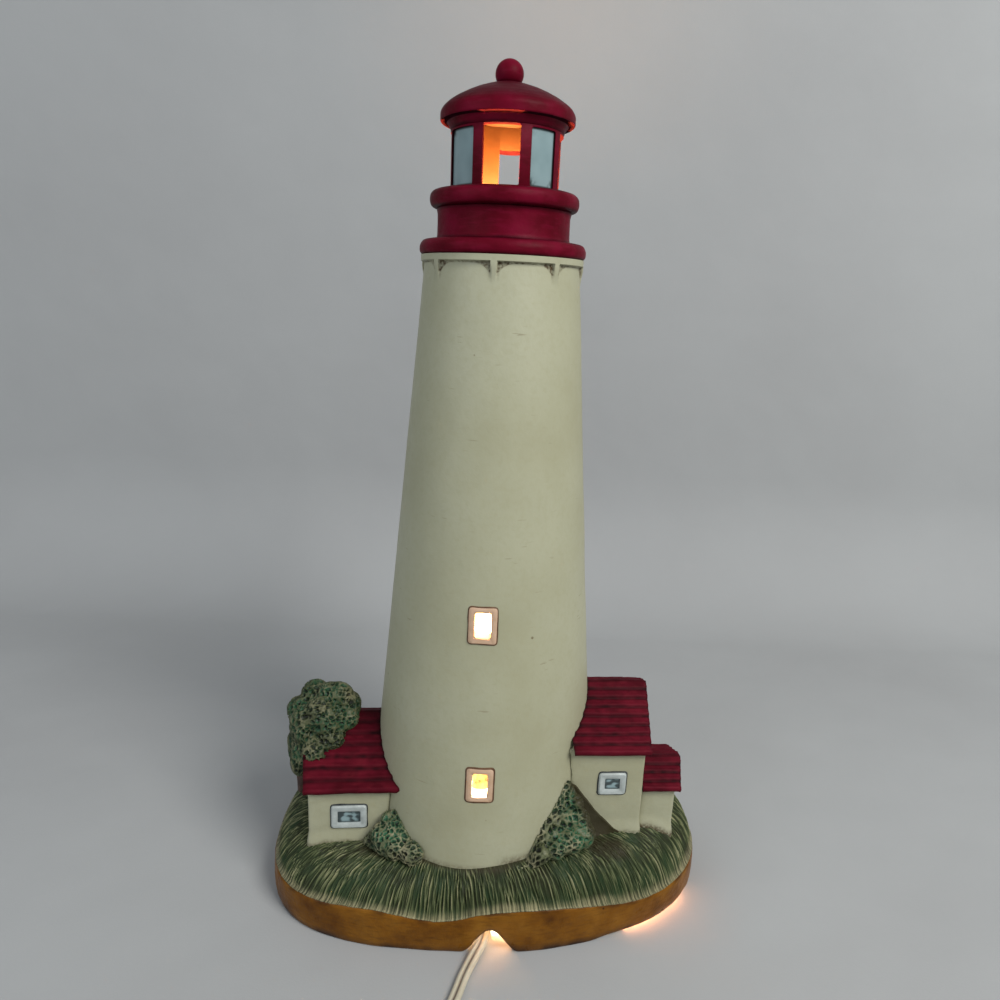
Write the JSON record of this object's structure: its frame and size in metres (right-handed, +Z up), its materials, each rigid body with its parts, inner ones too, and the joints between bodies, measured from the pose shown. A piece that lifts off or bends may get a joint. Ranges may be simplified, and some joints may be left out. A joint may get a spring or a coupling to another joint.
{
  "type": "lighthouse lamp figurine",
  "caption": "Hollow painted ceramic lighthouse with cottages on a grassy oval island, over a lift-off light kit with candelabra socket, bulb, cord, thumb-wheel switch and plug.",
  "frame": {"origin": "middle of the oval island's outline, on the table it stands on", "axes": "+Z up along the tower, -Y to the lamp's front with the cord notch, +X to the right-hand cottage"},
  "size_m": [0.2162, 0.2993, 0.3791],
  "materials": {
    "ochre_glaze": "satin",
    "grass_glaze": "satin",
    "soil_glaze": "satin",
    "cream_glaze": "satin",
    "white_glaze": "satin",
    "burgundy_glaze": "satin",
    "pane_glaze": "satin",
    "leaf_glaze": "satin",
    "felt": "matte",
    "pan_steel": "satin",
    "kit_brass": "satin",
    "wire_steel": "satin",
    "socket_black": "matte",
    "bulb_glass": "gloss",
    "ivory_cord": "satin",
    "ivory_plastic": "satin",
    "wheel_plastic": "satin"
  },
  "bodies": {
    "light_kit": {"pan_felt": "felt", "pan_base": "pan_steel", "lamp_pipe": "kit_brass", "pipe_nuts": "kit_brass", "cord_relief": "ivory_cord", "socket_cap": "socket_black", "socket_body": "socket_black", "screw_shell": "kit_brass", "centre_contact": "kit_brass", "cord_inside": "ivory_cord", "cord_run": "ivory_cord", "switch_lower": "ivory_plastic", "switch_upper": "ivory_plastic", "switch_screw": "wire_steel", "cord_lead": "ivory_cord", "cord_coil": "ivory_cord", "cord_tail": "ivory_cord", "plug_body": "ivory_plastic", "plug_blades": "kit_brass"},
    "lighthouse": {"base_rim": "ochre_glaze", "grass_skirt": "grass_glaze", "soil_bed": "soil_glaze", "tower_shell": "cream_glaze", "tower_window_frames": "white_glaze", "gallery_flange": "burgundy_glaze", "lantern_drum": "burgundy_glaze", "rail_ring": "burgundy_glaze", "lantern_room": "burgundy_glaze", "blind_panes": "pane_glaze", "lantern_roof": "burgundy_glaze", "finial_ball": "burgundy_glaze", "left_cottage_walls": "cream_glaze", "left_cottage_roof": "burgundy_glaze", "left_cottage_window": "white_glaze", "right_cottage_walls": "cream_glaze", "right_cottage_roof": "burgundy_glaze", "right_cottage_window": "white_glaze", "lean_to_walls": "cream_glaze", "lean_to_roof": "burgundy_glaze", "tree_crown": "leaf_glaze", "tree_trunk": "soil_glaze", "left_bush": "leaf_glaze", "right_bushes": "leaf_glaze"},
    "bulb": {"bulb_cap": "kit_brass", "bulb_insulator": "socket_black", "bulb_glass": "bulb_glass", "bulb_mount": "wire_steel"},
    "switch_wheel": {"switch_wheel": "wheel_plastic"}
  },
  "joints": [
    {"name": "lighthouse_lift", "type": "slide", "parent": "light_kit", "child": "lighthouse", "axis": [0, 0, 1], "range_m": [0, 0.16]},
    {"name": "bulb_turn", "type": "hinge", "parent": "light_kit", "child": "bulb", "pos_m": [-0.0037, 0, 0.09], "axis": [0, 0, 1], "range_deg": [0, 1080]},
    {"name": "switch_wheel_turn", "type": "hinge", "parent": "light_kit", "child": "switch_wheel", "pos_m": [-0.047, -0.177, 0.007], "axis": [0, 0, 1], "continuous": true}
  ]
}
